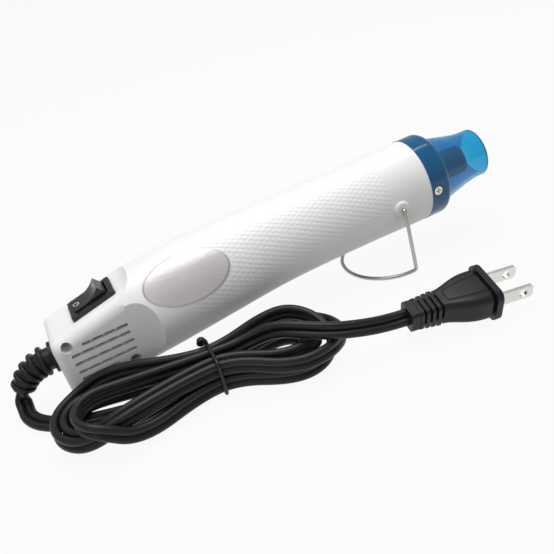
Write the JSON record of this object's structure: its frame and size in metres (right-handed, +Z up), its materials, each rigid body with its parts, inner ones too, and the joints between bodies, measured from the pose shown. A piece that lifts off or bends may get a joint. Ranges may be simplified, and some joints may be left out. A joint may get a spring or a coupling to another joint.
{
  "type": "embossing heat tool",
  "caption": "Corded embossing heat tool with a blue bell nozzle, folding wire stand, rear rocker switch, motor and fan, mica heater, tied flat cord and two-blade plug.",
  "frame": {"origin": "on the table, below the middle of the tool's length, on the barrel's centre plane; the free cord and plug are left out of the middle", "axes": "+X from the tail to the nozzle, +Y to the tool's left, +Z up; the barrel is 2 degrees nose up on its stand"},
  "size_m": [0.2412, 0.1035, 0.0551],
  "materials": {
    "body_white": "smooth, slightly glossy moulded plastic",
    "nozzle_blue": "translucent blue moulded plastic",
    "screw_zinc": "zinc plated steel",
    "switch_black": "glossy black plastic",
    "brass": "plain brass",
    "copper": "bright copper alloy",
    "zinc_steel": "zinc plated sheet steel",
    "inner_plastic": "heat resistant black plastic",
    "ferrite": "ferrite",
    "bronze": "sintered bronze",
    "shaft_steel": "ground steel",
    "laminated_steel": "laminated steel",
    "heated_steel": "thin steel darkened by heat",
    "mica": "mica sheet",
    "coil_wire": "resistance wire",
    "ceramic": "pressed ceramic",
    "board": "phenolic board",
    "part_black": "moulded case",
    "capacitor": "dipped case",
    "cord_black": "soft black jacket",
    "plug_black": "soft moulded plug",
    "blade_brass": "nickel plated brass",
    "stand_wire": "bright steel wire"
  },
  "bodies": {
    "housing": {"housing_right": "body_white", "housing_left": "body_white", "body_screws": "screw_zinc", "nozzle": "nozzle_blue", "collar_screws": "screw_zinc", "switch_body": "switch_black", "switch_terminals": "brass", "motor_can": "zinc_steel", "motor_end_cap": "inner_plastic", "motor_magnets": "ferrite", "motor_bushes": "bronze", "motor_brushes": "copper", "motor_bracket": "zinc_steel", "motor_screws": "screw_zinc", "fan_duct": "inner_plastic", "heater_tube": "heated_steel", "mica_sleeve": "mica", "heater_former": "mica", "heater_coil": "coil_wire", "tube_ring": "ceramic", "thermal_cutout": "shaft_steel", "rectifier_board": "board", "rectifier_diodes": "part_black", "noise_capacitor": "capacitor", "strain_relief": "cord_black", "cord_core": "cord_black", "cord_clamp": "inner_plastic", "clamp_screws": "screw_zinc", "cord_hank": "cord_black", "cord_lead": "cord_black", "cord_tail": "cord_black", "plug_body": "plug_black", "plug_blades": "blade_brass", "hank_tie": "cord_black"},
    "rotor": {"motor_shaft": "shaft_steel", "motor_armature": "laminated_steel", "motor_windings": "copper", "motor_commutator": "copper", "fan_wheel": "inner_plastic"},
    "rocker": {"switch_rocker": "switch_black", "switch_plunger": "brass"},
    "contact": {"switch_contact": "copper"},
    "stand": {"stand": "stand_wire"}
  },
  "joints": [
    {"name": "stand_fold", "type": "hinge", "parent": "housing", "child": "stand", "pos_m": [0.05467, 0, 0.03314], "axis": [0, 1, 0], "range_deg": [-100, 20]},
    {"name": "switch_rock", "type": "hinge", "parent": "housing", "child": "rocker", "pos_m": [-0.08665, 0, 0.03832], "axis": [0, 1, 0], "range_deg": [0, 28]},
    {"name": "contact_rock", "type": "hinge", "parent": "housing", "child": "contact", "pos_m": [-0.0843, 0, 0.02984], "axis": [0, 1, 0], "range_deg": [-10, 0]},
    {"name": "fan_spin", "type": "hinge", "parent": "housing", "child": "rotor", "pos_m": [-0.01243, 0, 0.0319], "axis": [0.9994, 0, 0.0349], "continuous": true}
  ],
  "couplings": [
    {"joint": "contact_rock", "follows": "switch_rock", "ratio": -0.35714}
  ]
}
